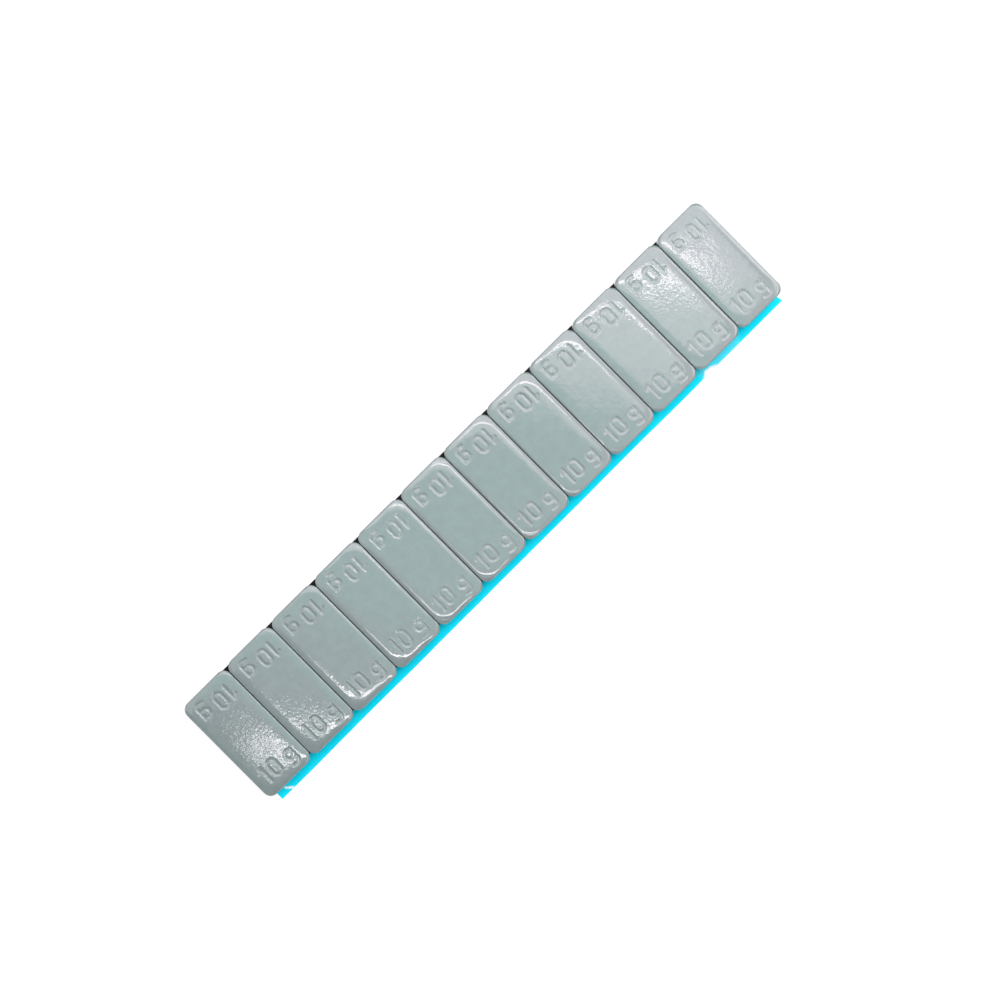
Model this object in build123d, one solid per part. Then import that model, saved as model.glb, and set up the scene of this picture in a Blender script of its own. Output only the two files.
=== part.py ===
from build123d import *
import math
import os

# Stick-on wheel balance weight: a row of coated steel weights on one foam tape,
# with a film liner below. Millimetres, +X along the row, +Y to the far long edge,
# +Z up. The origin is under the middle of the row, on the liner's underside.

# ---- driving dimensions -------------------------------------------------------
N_SEG = 12              # weights in the row
PITCH = 12.0            # spacing of the weights along the row
SEG_L = 11.88           # weight, along the row
SEG_W = 25.05           # weight, across the row
SEG_T = 4.35            # weight, thickness
R_TOP = 0.55            # rounding of the top edge
R_BOT = 0.30            # rounding of the bottom edge
RC_SIDE = 1.80          # corner radius of the outline
RC_TOP = 3.4            # corner radius of the flat top
MARK_D = 0.08           # depth of the stamped mark below the top face
MARK_NEAR = 2.13        # baseline of the near mark, from the near short edge
MARK_FAR = 2.38         # baseline of the far mark, from the far short edge
CAP_H = 3.9             # height of the figures
STROKE = 0.56           # stroke width of the mark
LINER_T = 0.12          # release film
FOAM_T = 1.00           # foam tape
FOAM_X = (-71.25, 71.25)
FOAM_Y = (-11.55, 12.40)
LINER_X = (-70.35, 70.80)
LINER_NEAR = (-14.14, -13.88)    # near edge at the left end and at the right end
LINER_FAR = (11.40, 11.71)       # far edge at the left end and at the right end
NICK_X = (48.9, 51.8)            # tear in the film's near edge
NICK_D = 0.78
# small offsets of each weight as it was laid on the tape: across, and turn in degrees
LAY_Y = (0.06, 0.02, -0.04, -0.03, 0.01, 0.00, -0.03, -0.02, -0.04, 0.02, 0.07, 0.08)
LAY_A = (0.10, -0.05, 0.04, 0.00, -0.04, 0.03, 0.00, 0.05, -0.05, 0.00, 0.04, -0.03)

Z_FOAM = LINER_T
Z_SEG = LINER_T + FOAM_T
Z_TOP = Z_SEG + SEG_T


# ---- one weight ---------------------------------------------------------------
def outline(inset, radius, z):
    """Rounded outline of the weight, drawn in by inset, at height z."""
    return Plane.XY.offset(z) * RectangleRounded(SEG_L - 2 * inset, SEG_W - 2 * inset, radius)


def top_section(deg):
    """Section of the top rounding: 90 is the side wall, 0 is the flat top."""
    s = math.sin(math.radians(deg))
    c = math.cos(math.radians(deg))
    return outline(R_TOP * (1 - s), RC_TOP + (RC_SIDE - RC_TOP) * s, SEG_T - R_TOP * (1 - c))


def bar(x0, y0, x1, y1):
    """Stroke with round ends from one point to another."""
    length = math.hypot(x1 - x0, y1 - y0)
    ang = math.degrees(math.atan2(y1 - y0, x1 - x0))
    return Pos((x0 + x1) / 2, (y0 + y1) / 2) * (Rot(0, 0, ang) * SlotCenterToCenter(length, STROKE))


def ring(cx, cy, w, h):
    """Oval stroke with outer size w by h."""
    outer = RectangleRounded(w, h, w / 2 - 0.001) if h > w + 0.01 else Circle(w / 2)
    wi, hi = w - 2 * STROKE, h - 2 * STROKE
    inner = RectangleRounded(wi, hi, wi / 2 - 0.001) if h > w + 0.01 else Circle(wi / 2)
    return Pos(cx, cy) * (outer - inner)


def mark():
    """Mass mark, ten grams: baseline at y = 0, centred on x = 0."""
    k = STROKE / 2
    one = bar(-3.30, k, -3.30, CAP_H - k) + bar(-3.30, CAP_H - k, -4.10, CAP_H - 0.95)
    nought = ring(-1.05, CAP_H / 2, 2.35, CAP_H)
    # the bowl stands above the baseline so that the short tail stays clear of it and of the rounded edge
    bowl_w, bowl_h = 2.25, 2.30
    gx, gy = 2.75, 0.48 + bowl_h / 2
    bowl = ring(gx, gy, bowl_w, bowl_h)
    stem_x = gx + bowl_w / 2 - k
    stem = bar(stem_x, gy + bowl_h / 2 - k, stem_x, -0.10)
    tail = (bar(stem_x, -0.10, stem_x - 0.30, -0.58) + bar(stem_x - 0.30, -0.58, stem_x - 0.78, -0.72)
            + bar(stem_x - 0.78, -0.72, gx - 0.80, -0.54))
    return [one, nought, bowl + stem + tail]


def make_weight():
    body = extrude(RectangleRounded(SEG_L, SEG_W, RC_SIDE), SEG_T - R_TOP)
    body = fillet(body.edges().group_by(Axis.Z)[0], R_BOT)
    body = body + loft([top_section(a) for a in (90, 72, 54, 36, 18, 0)])
    figures = Part()
    for glyph in mark():
        figures += extrude(Plane.XY.offset(SEG_T - MARK_D) * glyph, MARK_D + 0.2)
    near = Pos(0.15, -SEG_W / 2 + MARK_NEAR, 0) * figures
    far = Pos(-0.15, SEG_W / 2 - MARK_FAR, 0) * (Rot(0, 0, 180) * figures)
    return body - near - far


weight = make_weight()
os.makedirs("parts", exist_ok=True)
x_first = -PITCH * (N_SEG - 1) / 2
for i in range(N_SEG):
    placed = Pos(x_first + i * PITCH, LAY_Y[i], Z_SEG) * (Rot(0, 0, LAY_A[i]) * weight)
    export_step(placed, f"parts/weight_segment_{i + 1:02d}.step")

# ---- foam tape and release liner ----------------------------------------------
foam = Pos((FOAM_X[0] + FOAM_X[1]) / 2, (FOAM_Y[0] + FOAM_Y[1]) / 2, Z_FOAM) * Box(
    FOAM_X[1] - FOAM_X[0], FOAM_Y[1] - FOAM_Y[0], FOAM_T, align=(Align.CENTER, Align.CENTER, Align.MIN))
export_step(foam, "parts/foam_tape.step")


def near_edge(x):
    t = (x - LINER_X[0]) / (LINER_X[1] - LINER_X[0])
    return LINER_NEAR[0] + t * (LINER_NEAR[1] - LINER_NEAR[0])


nick_mid = 0.5 * (NICK_X[0] + NICK_X[1])
film = Polyline(
    (LINER_X[0], LINER_NEAR[0]),
    (NICK_X[0], near_edge(NICK_X[0])),
    (NICK_X[0] + 0.7, near_edge(NICK_X[0]) + NICK_D),
    (nick_mid + 0.6, near_edge(nick_mid) + 0.8 * NICK_D),
    (NICK_X[1], near_edge(NICK_X[1])),
    (LINER_X[1], LINER_NEAR[1]),
    (LINER_X[1], LINER_FAR[1]),
    (LINER_X[0], LINER_FAR[0]),
    (LINER_X[0], LINER_NEAR[0]),
)
liner = extrude(make_face(film), LINER_T)
export_step(liner, "parts/release_liner.step")

print("weight volume mm3", round(weight.volume, 2), "mass g", round(weight.volume * 7.85e-3, 3))
print("solids in one weight", len(weight.solids()), "valid", weight.is_valid)
print("foam mm3", round(foam.volume, 1), "liner mm3", round(liner.volume, 1))
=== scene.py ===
import math

import bpy
import numpy as np
from mathutils import Matrix, Vector


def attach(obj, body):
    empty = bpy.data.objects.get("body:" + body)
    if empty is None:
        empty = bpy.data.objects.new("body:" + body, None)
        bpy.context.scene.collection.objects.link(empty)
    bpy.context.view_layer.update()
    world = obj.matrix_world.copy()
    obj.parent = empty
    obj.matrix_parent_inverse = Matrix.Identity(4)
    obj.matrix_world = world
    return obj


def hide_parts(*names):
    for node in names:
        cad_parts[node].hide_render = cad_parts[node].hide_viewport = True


# A row of twelve coated steel weights on one foam tape with a film liner below.
# Lengths are in millimetres until a mesh is made, and metres after that.

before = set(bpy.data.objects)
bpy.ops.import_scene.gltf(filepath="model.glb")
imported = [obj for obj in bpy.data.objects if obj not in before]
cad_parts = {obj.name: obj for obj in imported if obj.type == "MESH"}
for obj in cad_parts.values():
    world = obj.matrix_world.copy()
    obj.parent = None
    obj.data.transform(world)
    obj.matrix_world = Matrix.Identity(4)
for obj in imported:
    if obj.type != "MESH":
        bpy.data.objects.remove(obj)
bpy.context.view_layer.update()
MM = 0.001

# ---- sizes, the same as the solid part ----------------------------------------
N_SEG = 12
PITCH = 12.0
SEG_L = 11.88
SEG_W = 25.05
SEG_T = 4.35
R_BOT = 0.30
MARK_D = 0.08
MARK_NEAR = 2.13
MARK_FAR = 2.38
CAP_H = 3.9
STROKE = 0.56
LINER_T = 0.12
FOAM_T = 1.00
FOAM_X = (-71.25, 71.25)
# the foam runs out almost to the weights' far edge, so its black fills the far notches between them; this is partly
# real foam and partly painted shade
FOAM_Y = (-11.55, 12.40)
LINER_X = (-70.35, 70.80)
LINER_NEAR = (-14.14, -13.88)
LINER_FAR = (11.40, 11.71)
NICK_X = (48.9, 51.8)
NICK_D = 0.78
LAY_Y = (0.06, 0.02, -0.04, -0.03, 0.01, 0.00, -0.03, -0.02, -0.04, 0.02, 0.07, 0.08)
LAY_A = (0.10, -0.05, 0.04, 0.00, -0.04, 0.03, 0.00, 0.05, -0.05, 0.00, 0.04, -0.03)
Z_SEG = LINER_T + FOAM_T

# ---- edge shape of a weight ---------------------------------------------------
HALF_L, HALF_W = SEG_L / 2, SEG_W / 2
EDGE_R = 0.264          # rounding of the top edge
EDGE_A = math.radians(8.0)
EDGE_S = EDGE_R * (1 - math.sin(EDGE_A))     # inset where the rounding meets the soft crown
CROWN_L = 0.60          # how quickly the crown fades inwards
RC_OUT = 1.80           # corner radius of the outline
RC_IN = 3.28            # corner radius where rounding and crown meet


def crown_drop(s):
    """Height lost by the soft crown at inset s from the side wall."""
    return math.tan(math.radians(4.3)) * CROWN_L * np.exp(-(s - 0.6) / CROWN_L)


def corner_radius(s):
    return np.minimum(RC_IN + 1.0 * (s - EDGE_S), 0.97 * (HALF_L - s))


def inset_of(x, y):
    """Inset of the nested rounded outline that passes through each point."""
    lo = np.full(x.shape, EDGE_S * 0.98)
    hi = np.full(x.shape, HALF_L * 0.98)
    for _ in range(40):
        mid = 0.5 * (lo + hi)
        r = corner_radius(mid)
        qx = np.abs(x) - (HALF_L - mid - r)
        qy = np.abs(y) - (HALF_W - mid - r)
        d = np.hypot(np.maximum(qx, 0), np.maximum(qy, 0)) + np.minimum(np.maximum(qx, qy), 0) - r
        inside = d < 0
        lo = np.where(inside, mid, lo)
        hi = np.where(inside, hi, mid)
    return 0.5 * (lo + hi)


# ---- stamped mark -------------------------------------------------------------
def to_segment(x, y, x0, y0, x1, y1):
    dx, dy = x1 - x0, y1 - y0
    t = np.clip(((x - x0) * dx + (y - y0) * dy) / (dx * dx + dy * dy), 0, 1)
    return np.hypot(x - x0 - t * dx, y - y0 - t * dy)


def to_oval(x, y, cx, cy, w, h):
    """Distance to the middle of an oval stroke with outer size w by h."""
    r = (w - STROKE) / 2
    half = (h - w) / 2
    return np.abs(np.hypot(x - cx, np.maximum(np.abs(y - cy) - half, 0)) - r)


def mark_distance(x, y):
    """Distance to the middle of the nearest stroke of the mass mark."""
    k = STROKE / 2
    gx, bw, bh = 2.75, 2.25, 2.30
    gy = 0.48 + bh / 2
    sx = gx + bw / 2 - k
    parts = [
        to_segment(x, y, -3.30, k, -3.30, CAP_H - k),
        to_segment(x, y, -3.30, CAP_H - k, -4.10, CAP_H - 0.95),
        to_oval(x, y, -1.05, CAP_H / 2, 2.35, CAP_H),
        to_oval(x, y, gx, gy, bw, bh),
        to_segment(x, y, sx, gy + bh / 2 - k, sx, -0.10),
        to_segment(x, y, sx, -0.10, sx - 0.30, -0.58),
        to_segment(x, y, sx - 0.30, -0.58, sx - 0.78, -0.72),
        to_segment(x, y, sx - 0.78, -0.72, gx - 0.80, -0.54),
    ]
    return np.minimum.reduce(parts)


def smooth_step(a, b, x):
    t = np.clip((x - a) / (b - a), 0, 1)
    return t * t * (3 - 2 * t)


class Waves:
    """Smooth seeded unevenness, as a sum of plane waves."""

    def __init__(self, rng, count, shortest, longest):
        ang = rng.uniform(0, 2 * math.pi, count)
        lam = np.exp(rng.uniform(math.log(shortest), math.log(longest), count))
        self.kx = 2 * math.pi / lam * np.cos(ang)
        self.ky = 2 * math.pi / lam * np.sin(ang)
        self.ph = rng.uniform(0, 2 * math.pi, count)
        self.amp = lam / lam.mean() / math.sqrt(count)

    def __call__(self, x, y):
        out = np.zeros(np.shape(x))
        for kx, ky, ph, a in zip(self.kx, self.ky, self.ph, self.amp):
            out += a * np.sin(kx * x + ky * y + ph)
        return out


# ---- mesh helper --------------------------------------------------------------
def make_mesh(name, verts, faces, smooth=True, flat_faces=()):
    mesh = bpy.data.meshes.new(name)
    mesh.from_pydata((np.asarray(verts) * MM).tolist(), [], faces)
    mesh.polygons.foreach_set("use_smooth", [smooth] * len(mesh.polygons))
    for f in flat_faces:
        mesh.polygons[f].use_smooth = False
    mesh.update()
    mesh.validate()
    obj = bpy.data.objects.new(name, mesh)
    bpy.context.scene.collection.objects.link(obj)
    return obj


def loop_quads(a, b, n):
    """Quads between two closed loops of n points that start at a (inner) and b (outer)."""
    i = np.arange(n)
    j = (i + 1) % n
    return np.stack([a + i, b + i, b + j, a + j], 1).tolist()


# ---- one weight ---------------------------------------------------------------
N_ARC = 44
rows = [("near", t) for t in np.linspace(-math.pi / 2, 0, N_ARC + 1)]
straight = HALF_W - EDGE_S - RC_IN
mid_y = np.concatenate([np.linspace(-straight, -5.9, 25)[1:], np.linspace(-5.9, 5.9, 36)[1:-1], np.linspace(5.9, straight, 25)[:-1]])
rows += [("mid", y / straight) for y in mid_y]
rows += [("far", t) for t in np.linspace(0, math.pi / 2, N_ARC + 1)]
N_ROW, N_COL = len(rows), 116
cols = np.linspace(-1, 1, N_COL)


def row_place(row, s, r):
    """Y and half width of a row of the rounded outline at inset s with corner radius r."""
    kind, val = row
    a, b = HALF_L - s, HALF_W - s
    if kind == "mid":
        return val * (b - r), a
    y = (b - r) if kind == "far" else -(b - r)
    return y + r * math.sin(val), (a - r) + r * math.cos(val)


def outline_loop(s, r):
    """The outline at inset s as a loop that goes round once, seen from above, from the near left."""
    place = [row_place(w, s, r) for w in rows]
    pts = [(c * place[0][1], place[0][0]) for c in cols]
    pts += [(w, y) for y, w in place[1:]]
    pts += [(c * place[-1][1], place[-1][0]) for c in cols[::-1][1:]]
    pts += [(-w, y) for y, w in place[::-1][1:-1]]
    return np.array(pts)


grid_place = [row_place(w, EDGE_S, RC_IN) for w in rows]
GX = np.array([[c * w for c in cols] for y, w in grid_place])
GY = np.array([[y] * N_COL for y, w in grid_place])
grid_id = np.arange(N_ROW * N_COL).reshape(N_ROW, N_COL)
GRID_FACES = np.stack([grid_id[:-1, :-1], grid_id[:-1, 1:], grid_id[1:, 1:], grid_id[1:, :-1]], -1).reshape(-1, 4).tolist()
GRID_LOOP = np.concatenate([grid_id[0, :], grid_id[1:, -1], grid_id[-1, ::-1][1:], grid_id[::-1, 0][1:-1]])
N_LOOP = len(GRID_LOOP)
GRID_INSET = inset_of(GX, GY)

# how each weight came out: filling of the mark by the coat, and small lean of the top
SOFT = (0.16, 0.43, 0.06, 0.97, 1.00, 0.70, 0.33, 0.12, 0.50, 0.70, 0.70, 0.51)
LEAN_X = (0.03, -0.12, 0.02, 0.06, -0.02, 0.04, -0.05, 0.03, -0.03, 0.05, 0.22, 0.07)
LEAN_Y = (-0.06, -0.04, 0.00, -0.05, 0.05, -0.03, 0.03, -0.04, 0.06, 0.02, 0.05, 0.05)


def weight_mesh(i):
    rng = np.random.default_rng(4100 + 17 * i)
    broad = Waves(rng, 14, 2.2, 7.0)
    fine = Waves(rng, 16, 0.9, 1.8)
    edge = Waves(rng, 12, 0.6, 1.6)
    level = Waves(rng, 6, 3.0, 9.0)
    soft = SOFT[i]

    def mark_depth(x, y):
        wob = 0.035 * edge(x, y)
        out = np.zeros(x.shape)
        for lx, ly in ((x - 0.15, y + HALF_W - MARK_NEAR), (-(x + 0.15), -(y - HALF_W + MARK_FAR))):
            d = mark_distance(lx, ly) + wob
            low, high = 0.07 - 0.05 * soft, 0.47 + 0.08 * soft
            out = np.maximum(out, 1 - smooth_step(low, high, d))
        return MARK_D * out * (0.97 - 0.40 * soft - 0.10 * np.abs(level(x, y)))

    lean_x, lean_y = math.radians(LEAN_X[i]), math.radians(LEAN_Y[i])

    def uneven(x, y):
        return 0.0013 * broad(x, y) + 0.0004 * fine(x, y) + lean_x * x + lean_y * y

    z = SEG_T - crown_drop(GRID_INSET) - mark_depth(GX, GY) + uneven(GX, GY)
    verts = [np.stack([GX.ravel(), GY.ravel(), z.ravel()], 1)]
    faces = list(GRID_FACES)
    base = N_ROW * N_COL
    previous = None
    z_edge = SEG_T - crown_drop(EDGE_S)

    def add_loop(pts, z_loop, keep):
        """One more loop down the side, with keep of the top's unevenness left."""
        nonlocal base, previous
        x, y = pts[:, 0], pts[:, 1]
        zz = z_loop + keep * uneven(x, y)
        verts.append(np.stack([x, y, zz], 1))
        start = base
        base += N_LOOP
        ids = np.arange(start, base)
        inner = GRID_LOOP if previous is None else previous
        nxt = np.roll(np.arange(N_LOOP), -1)
        faces.extend(np.stack([inner, ids, ids[nxt], inner[nxt]], 1).tolist())
        previous = ids

    for deg in (11, 15, 20, 26, 33, 41, 50, 59, 68, 77, 84, 90):
        a = math.radians(deg)
        k = (1 - math.sin(a)) / (1 - math.sin(EDGE_A))
        add_loop(outline_loop(EDGE_R * (1 - math.sin(a)), RC_OUT + (RC_IN - RC_OUT) * k),
                 z_edge - EDGE_R * (math.cos(EDGE_A) - math.cos(a)), 1 - 0.5 * math.sin(a))
    add_loop(outline_loop(0.0, RC_OUT), 2.6, 0.3)
    add_loop(outline_loop(0.0, RC_OUT), 1.3, 0.1)
    for deg in (0, 25, 50, 72, 90):
        a = math.radians(deg)
        add_loop(outline_loop(R_BOT * (1 - math.cos(a)), RC_OUT - R_BOT * (1 - math.cos(a))), R_BOT * (1 - math.sin(a)), 0.0)
    faces.append(previous[::-1].tolist())
    co = np.concatenate(verts)
    a = math.radians(LAY_A[i])
    x = co[:, 0] * math.cos(a) - co[:, 1] * math.sin(a) + (i - (N_SEG - 1) / 2) * PITCH
    y = co[:, 0] * math.sin(a) + co[:, 1] * math.cos(a) + LAY_Y[i]
    peel = np.zeros(len(co))
    peel[:N_ROW * N_COL] = smooth_step(0.5, 1.5, GRID_INSET).ravel()
    return np.stack([x, y, co[:, 2] + Z_SEG], 1), faces, peel


# ---- materials ----------------------------------------------------------------
def new_material(name):
    mat = bpy.data.materials.new(name)
    mat.use_nodes = True
    nt = mat.node_tree
    nt.nodes.clear()
    out = nt.nodes.new("ShaderNodeOutputMaterial")
    bsdf = nt.nodes.new("ShaderNodeBsdfPrincipled")
    nt.links.new(bsdf.outputs["BSDF"], out.inputs["Surface"])
    return mat, nt, bsdf


def noise(nt, coords, scale, detail=2.0, rough=0.5):
    n = nt.nodes.new("ShaderNodeTexNoise")
    n.inputs["Scale"].default_value = scale
    n.inputs["Detail"].default_value = detail
    n.inputs["Roughness"].default_value = rough
    nt.links.new(coords, n.inputs["Vector"])
    return n.outputs["Fac"]


def ramp(nt, fac, stops):
    r = nt.nodes.new("ShaderNodeValToRGB")
    els = r.color_ramp.elements
    while len(els) < len(stops):
        els.new(0.5)
    for e, (p, c) in zip(els, stops):
        e.position = p
        e.color = (*c, 1) if len(c) == 3 else c
    nt.links.new(fac, r.inputs["Fac"])
    return r.outputs["Color"]


def map_range(nt, value, a, b, c, d, smooth=False):
    m = nt.nodes.new("ShaderNodeMapRange")
    m.interpolation_type = "SMOOTHSTEP" if smooth else "LINEAR"
    for key, v in (("From Min", a), ("From Max", b), ("To Min", c), ("To Max", d)):
        m.inputs[key].default_value = v
    nt.links.new(value, m.inputs["Value"])
    return m.outputs["Result"]


def mix(nt, fac, colour, other):
    """Blend from a linked colour to a set colour."""
    m = nt.nodes.new("ShaderNodeMix")
    m.data_type = "RGBA"
    nt.links.new(fac, m.inputs["Factor"])
    nt.links.new(colour, m.inputs[6])
    m.inputs[7].default_value = (*other, 1)
    return m.outputs[2]


def bump(nt, height, distance, normal=None, strength=1.0):
    b = nt.nodes.new("ShaderNodeBump")
    b.inputs["Strength"].default_value = strength
    b.inputs["Distance"].default_value = distance
    nt.links.new(height, b.inputs["Height"])
    if normal is not None:
        nt.links.new(normal, b.inputs["Normal"])
    return b.outputs["Normal"]


def object_coords(nt):
    return nt.nodes.new("ShaderNodeTexCoord").outputs["Object"]


def coat_material():
    mat, nt, bsdf = new_material("grey_coat")
    co = object_coords(nt)
    cloud = noise(nt, co, 520.0, 5.0, 0.65)
    colour = ramp(nt, cloud, [(0.30, (0.1275, 0.165, 0.169)), (0.70, (0.145, 0.1865, 0.1905))])
    # a few tiny dark specks caught in the coat
    cells = nt.nodes.new("ShaderNodeTexVoronoi")
    cells.inputs["Scale"].default_value = 420.0
    nt.links.new(co, cells.inputs["Vector"])
    near = map_range(nt, cells.outputs["Distance"], 0.02, 0.055, 1.0, 0.0, True)
    chosen = map_range(nt, cells.outputs["Color"], 0.70, 0.74, 0.0, 0.45)
    both = nt.nodes.new("ShaderNodeMath")
    both.operation = "MULTIPLY"
    nt.links.new(near, both.inputs[0])
    nt.links.new(chosen, both.inputs[1])
    nt.links.new(mix(nt, both.outputs["Value"], colour, (0.030, 0.034, 0.034)), bsdf.inputs["Base Color"])
    rough = map_range(nt, noise(nt, co, 500.0, 2.0), 0.3, 0.7, 0.05, 0.065)
    nt.links.new(rough, bsdf.inputs["Roughness"])
    bsdf.inputs["Specular IOR Level"].default_value = 0.667
    # orange peel, which the coat draws smooth at the edges
    where = nt.nodes.new("ShaderNodeAttribute")
    where.attribute_name = "peel"
    peel = bump(nt, noise(nt, co, 1700.0, 2.0, 0.5), 0.0000075)
    nt.links.new(map_range(nt, where.outputs["Fac"], 0.0, 1.0, 0.20, 1.0), peel.node.inputs["Strength"])
    nt.links.new(peel, bsdf.inputs["Normal"])
    return mat


def foam_material():
    mat, nt, bsdf = new_material("black_foam")
    co = object_coords(nt)
    # near-black foam: its own colour under the weights, and painted shade where it shows in the far notches
    colour = ramp(nt, noise(nt, co, 3000.0, 3.0), [(0.3, (0.006, 0.006, 0.007)), (0.7, (0.016, 0.016, 0.017))])
    nt.links.new(colour, bsdf.inputs["Base Color"])
    bsdf.inputs["Roughness"].default_value = 0.9
    bsdf.inputs["Specular IOR Level"].default_value = 0.25
    cells = nt.nodes.new("ShaderNodeTexVoronoi")
    cells.inputs["Scale"].default_value = 4200.0
    nt.links.new(co, cells.inputs["Vector"])
    nt.links.new(bump(nt, cells.outputs["Distance"], 0.00008), bsdf.inputs["Normal"])
    return mat


def film_material():
    mat, nt, bsdf = new_material("blue_film")
    co = object_coords(nt)
    colour = ramp(nt, noise(nt, co, 160.0, 4.0, 0.6), [(0.25, (0.003, 0.655, 0.862)), (0.75, (0.005, 0.699, 0.892))])
    worn = nt.nodes.new("ShaderNodeAttribute")
    worn.attribute_name = "wear"
    nt.links.new(mix(nt, worn.outputs["Fac"], colour, (0.93, 0.95, 0.95)), bsdf.inputs["Base Color"])
    nt.links.new(map_range(nt, noise(nt, co, 900.0, 3.0), 0.3, 0.7, 0.50, 0.62), bsdf.inputs["Roughness"])
    bsdf.inputs["Specular IOR Level"].default_value = 0.05
    nt.links.new(bump(nt, noise(nt, co, 420.0, 3.0), 0.00001), bsdf.inputs["Normal"])
    return mat


def floor_material():
    mat, nt, bsdf = new_material("white_floor")
    co = object_coords(nt)
    mottle = noise(nt, co, 30.0, 3.0)
    nt.links.new(ramp(nt, mottle, [(0.3, (0.19, 0.19, 0.19)), (0.7, (0.21, 0.21, 0.21))]), bsdf.inputs["Base Color"])
    nt.links.new(ramp(nt, mottle, [(0.3, (0.98, 0.98, 0.98)), (0.7, (1.0, 1.0, 1.0))]), bsdf.inputs["Emission Color"])
    bsdf.inputs["Emission Strength"].default_value = 0.82
    bsdf.inputs["Roughness"].default_value = 0.85
    return mat


coat, foam_mat, film_mat, floor_mat = coat_material(), foam_material(), film_material(), floor_material()


def hand_over(obj, mat, node):
    obj.data.materials.append(mat)
    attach(obj, "root")
    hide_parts(node)


for i in range(N_SEG):
    verts, faces, peel = weight_mesh(i)
    obj = make_mesh(f"coated_weight_{i + 1:02d}", verts, faces, flat_faces=(len(faces) - 1,))
    obj.data.attributes.new("peel", "FLOAT", "POINT").data.foreach_set("value", peel)
    hand_over(obj, coat, f"weight_segment_{i + 1:02d}")

# ---- foam tape ----------------------------------------------------------------
# black foam whose far edge also stands in for the shade in the notches between the weights
def foam_mesh():
    rng = np.random.default_rng(77)
    rough = Waves(rng, 40, 0.35, 1.4)
    cut = Waves(rng, 10, 6.0, 30.0)
    x0, x1, y0, y1 = FOAM_X[0], FOAM_X[1], FOAM_Y[0], FOAM_Y[1]
    step = 0.22
    nx, ny = int((x1 - x0) / step), int((y1 - y0) / step)
    xs, ys = np.linspace(x0, x1, nx + 1), np.linspace(y0, y1, ny + 1)
    pts = [(x, y0) for x in xs[:-1]] + [(x1, y) for y in ys[:-1]] + [(x, y1) for x in xs[::-1][:-1]] + [(x0, y) for y in ys[::-1][:-1]]
    nrm = [(0, -1)] * nx + [(1, 0)] * ny + [(0, 1)] * nx + [(-1, 0)] * ny
    pts, nrm = np.array(pts), np.array(nrm, float)
    along = np.arange(len(pts)) * step
    levels = np.array([0.0, 0.03, 0.12, 0.25, 0.38, 0.5, 0.62, 0.75, 0.88, 0.97, 1.0])
    verts, faces, n = [], [], len(pts)
    for k, t in enumerate(levels):
        tuck = 0.05 * (1 - smooth_step(0.0, 0.12, min(t, 1 - t)))
        off = -0.05 + 0.020 * rough(along, np.full(n, t * 2.4)) + 0.015 * cut(along, np.zeros(n)) - tuck
        p = pts + nrm * off[:, None]
        verts.append(np.column_stack([p, np.full(n, LINER_T + FOAM_T * t)]))
    for k in range(len(levels) - 1):
        faces += loop_quads((k + 1) * n, k * n, n)
    faces.append(list(range((len(levels) - 1) * n, len(levels) * n)))
    faces.append(list(range(n))[::-1])
    return np.concatenate(verts), faces


verts, faces = foam_mesh()
foam = make_mesh("foam_strip", verts, faces, flat_faces=(len(faces) - 1, len(faces) - 2))
hand_over(foam, foam_mat, "foam_tape")


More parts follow.
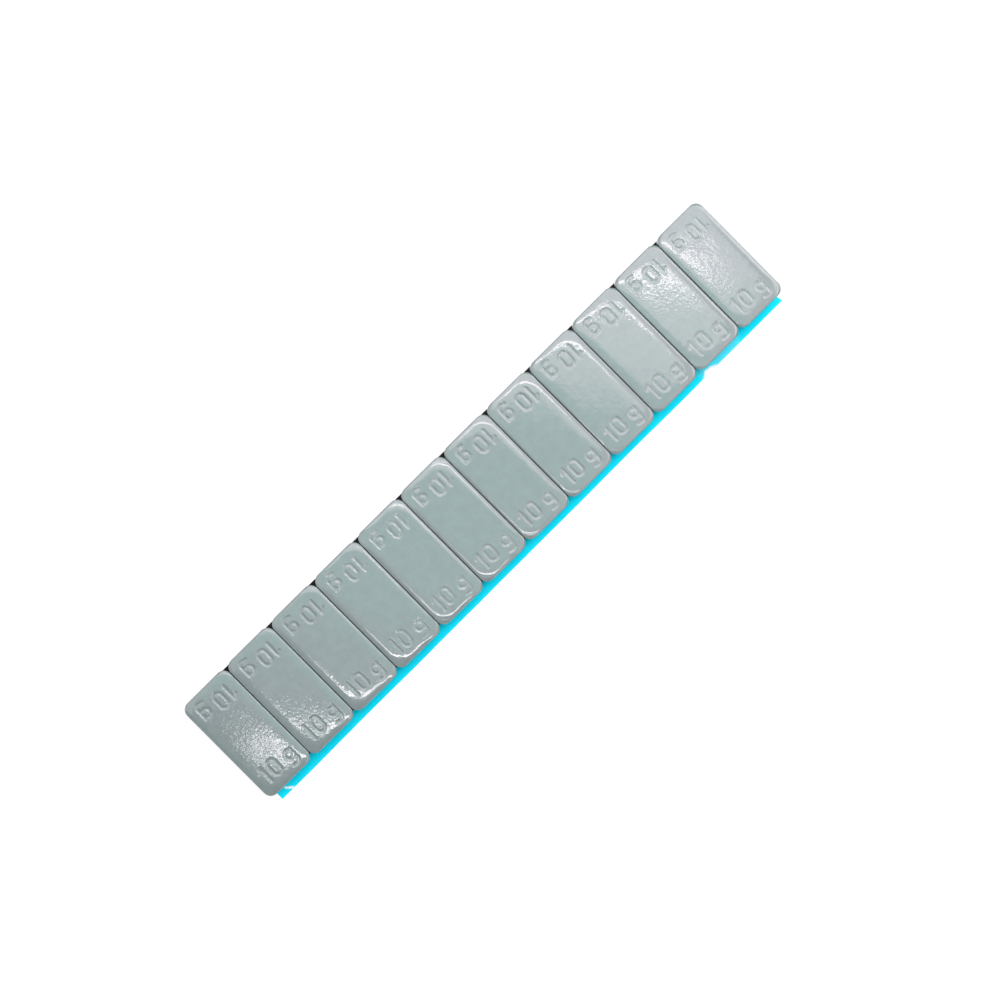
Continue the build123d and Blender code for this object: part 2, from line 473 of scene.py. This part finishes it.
# ---- release liner ------------------------------------------------------------
def film_mesh():
    rng = np.random.default_rng(51)
    edge = Waves(rng, 14, 1.2, 9.0)
    wave = Waves(rng, 10, 9.0, 30.0)
    x0, x1 = LINER_X
    xs = np.unique(np.round(np.concatenate([np.linspace(x0, x1, 420), np.linspace(x0, x0 + 3.4, 60),
                                            np.linspace(NICK_X[0] - 0.5, NICK_X[1] + 0.5, 70)]), 4))
    t = (xs - x0) / (x1 - x0)
    near = LINER_NEAR[0] + t * (LINER_NEAR[1] - LINER_NEAR[0])
    far = LINER_FAR[0] + t * (LINER_FAR[1] - LINER_FAR[0])
    mid = 0.5 * (NICK_X[0] + NICK_X[1])
    nick = np.interp(xs, [NICK_X[0], NICK_X[0] + 0.7, mid + 0.6, NICK_X[1]], [0, NICK_D, 0.8 * NICK_D, 0], left=0, right=0)
    near = near + nick * (1 + 0.15 * edge(3 * xs, np.zeros(xs.shape))) + 0.025 * edge(xs, np.zeros(xs.shape))
    far = far + 0.02 * edge(xs, np.full(xs.shape, 40.0))
    v = np.concatenate([np.linspace(0, 0.085, 26), np.linspace(0.085, 1.0, 12)[1:]])
    Y = near[None, :] + v[:, None] * (far - near)[None, :]
    X = np.repeat(xs[None, :], len(v), 0)
    # the right end is cut a little askew
    X = X - 0.20 * np.clip((Y - near) / 1.2, 0, 1) * smooth_step(68.5, 70.8, X)
    lift = 0.012 * (1 + wave(X, Y)) * (1 - smooth_step(0.02, 0.09, np.repeat(v[:, None], len(xs), 1)))
    n, m = X.shape
    top = np.stack([X, Y, LINER_T + lift], -1).reshape(-1, 3)
    low = np.stack([X, Y, 0.0 + lift * 0.9], -1).reshape(-1, 3)
    gid = np.arange(n * m).reshape(n, m)
    up = np.stack([gid[:-1, :-1], gid[:-1, 1:], gid[1:, 1:], gid[1:, :-1]], -1).reshape(-1, 4)
    faces = up.tolist() + (up[:, ::-1] + n * m).tolist()
    rim = np.concatenate([gid[0, :], gid[1:, -1], gid[-1, ::-1][1:], gid[::-1, 0][1:-1]])
    nxt = np.roll(rim, -1)
    side0 = len(faces)
    faces += np.stack([rim + n * m, nxt + n * m, nxt, rim], 1).tolist()
    # wear: a scuff at the left end, the torn nick's fringe and a paler stretch beside it
    scuff = 0.8 * (1 - smooth_step(0.08, 0.36, to_segment(X, Y, -68.40, -12.90, -67.25, -13.93) + 0.05 * edge(3 * X, 3 * Y)))
    fringe = 0.7 * (1 - smooth_step(0.05, 0.55, Y - near + 0.10 * edge(4 * X, Y))) * smooth_step(48.3, 48.9, X) * (1 - smooth_step(51.8, 52.6, X))
    pale = 0.06 * smooth_step(47.6, 49.2, X + 0.3 * edge(X, Y)) * (1 - smooth_step(58.3, 59.5, X + 0.3 * edge(X, Y)))
    wear = np.clip(np.maximum.reduce([scuff, fringe, pale]), 0, 1).ravel()
    return np.concatenate([top, low]), faces, range(side0, len(faces)), np.concatenate([wear, np.zeros(n * m)])


verts, faces, sides, wear = film_mesh()
film = make_mesh("blue_liner", verts, faces, flat_faces=sides)
film.data.attributes.new("wear", "FLOAT", "POINT").data.foreach_set("value", wear)
hand_over(film, film_mat, "release_liner")

# ---- floor --------------------------------------------------------------------
floor = make_mesh("white_table", np.array([[-8000, -8000, -0.02], [8000, -8000, -0.02], [8000, 8000, -0.02], [-8000, 8000, -0.02]]), [[0, 1, 2, 3]], smooth=False)
floor.data.materials.append(floor_mat)

# ---- camera -------------------------------------------------------------------
CAM = Vector((-43.0, 0.0, 700.0)) * MM
TARGET = Vector((1.860, -2.378, 5.0)) * MM
UP = Vector((0.70281, 0.71009, 0.04275))
cam = bpy.data.objects.new("camera", bpy.data.cameras.new("camera"))
cam.data.sensor_width = 36.0
cam.data.lens = 126.466
cam.data.clip_start = 0.01
cam.data.clip_end = 20.0
look = (TARGET - CAM).normalized()
right = look.cross(UP).normalized()
up = right.cross(look).normalized()
turn = Matrix((right, up, -look)).transposed()
cam.matrix_world = Matrix.Translation(CAM) @ turn.to_4x4()
bpy.context.scene.collection.objects.link(cam)
bpy.context.scene.camera = cam

# ---- light --------------------------------------------------------------------
def area_light(name, place, aim, along, size, radiance, colour=(1, 1, 1)):
    """A flat light at place that faces aim, with its long side along a direction. Millimetres."""
    data = bpy.data.lights.new(name, "AREA")
    data.shape = "RECTANGLE"
    data.size, data.size_y = size[0] * MM, size[1] * MM
    data.energy = radiance * math.pi * data.size * data.size_y
    data.color = colour
    obj = bpy.data.objects.new(name, data)
    z = (Vector(place) - Vector(aim)).normalized()
    x = Vector(along)
    x = (x - z * x.dot(z)).normalized()
    y = z.cross(x)
    obj.matrix_world = Matrix.Translation(Vector(place) * MM) @ Matrix((x, y, z)).transposed().to_4x4()
    bpy.context.scene.collection.objects.link(obj)
    return obj


E, F = Vector((1, 1, 0)).normalized(), Vector((1, -1, 0)).normalized()


def panel(name, e0, e1, f0, f1, z, radiance, colour=(1, 1, 1)):
    """A level panel over the part, from e0 to e1 along (1, 1) and from f0 to f1 along (1, -1)."""
    mid = E * (e0 + e1) / 2 + F * (f0 + f1) / 2
    place = (mid.x, mid.y, z)
    area_light(name, place, (mid.x, mid.y, 0), F, (f1 - f0, e1 - e0), radiance, colour)


def lamp(rgb):
    """Radiance and colour of a light from its red, green and blue radiance."""
    top = max(rgb)
    return top, tuple(c / top for c in rgb)


# soft strips left and right of the middle, and a broad overhead light that grows towards the far end
panel("strip_near", -74, -62, -50, 110, 700, *lamp((18.5, 17.6, 18.0)))
panel("strip_end", -74, -62, -66, -50, 700, *lamp((9.6, 9.1, 9.3)))
panel("strip_far", 114, 124, -50, 107, 700, *lamp((15.4, 13.8, 14.4)))
panel("strip_tip", 114, 124, 107, 119, 700, *lamp((11.0, 9.9, 10.3)))
panel("overhead_e", -120, -20, -150, 150, 708, *lamp((0.52, 0.46, 0.46)))
panel("overhead_a", -50, 650, -150, 150, 702, *lamp((1.06, 1.30, 1.35)))
panel("overhead_b", -20, 650, -150, 150, 704, *lamp((0.58, 1.07, 0.92)))
panel("overhead_c", 70, 114, -150, 150, 706, *lamp((2.62, 2.02, 2.10)))
panel("overhead_d", 114, 450, -150, 150, 706, *lamp((3.22, 2.12, 2.46)))
panel("side_right", -330, 650, 150, 500, 703, *lamp((2.66, 2.28, 2.30)))
panel("side_end", 170, 650, 150, 500, 705, *lamp((0.85, 0.75, 0.75)))
panel("side_left", -80, 220, -500, -150, 703, *lamp((2.26, 2.10, 1.96)))


def wall(name, way, along, width, z0, z1, rgb, shift=0):
    """An upright panel that faces the part from 660 mm away, moved along its own length by shift."""
    mid = along * shift
    p = way * 660 + mid
    z = (z0 + z1) / 2
    area_light(name, (p.x, p.y, z), (mid.x, mid.y, z), along, (width, z1 - z0), *lamp(rgb))


wall("wall_near", -E, F, 2600, 250, 700, (1.26, 1.05, 1.04))
wall("wall_left", -F, E, 1300, 250, 700, (2.72, 2.80, 2.74))
wall("wall_far", E, F, 1960, 10, 250, (1.15, 1.08, 1.08), -320)
wall("wall_right", F, E, 1960, 10, 250, (0.90, 0.85, 0.85), -320)
for name, place, rgb in (("key_right", (230, -40, 260), (3.28, 3.46, 3.42)),
                         ("key_far", (120, 220, 260), (1.88, 1.60, 1.54)),
                         ("key_end", (330, 60, 160), (0.90, 0.78, 0.78))):
    area_light(name, place, (0, 0, 0), (0, 0, 1), (200, 200), *lamp(rgb))

world = bpy.data.worlds.new("room")
world.use_nodes = True
world.node_tree.nodes["Background"].inputs["Color"].default_value = (1.0, 1.0, 1.0, 1)
world.node_tree.nodes["Background"].inputs["Strength"].default_value = 0.225
bpy.context.scene.world = world
bpy.context.scene.view_settings.view_transform = "Standard"
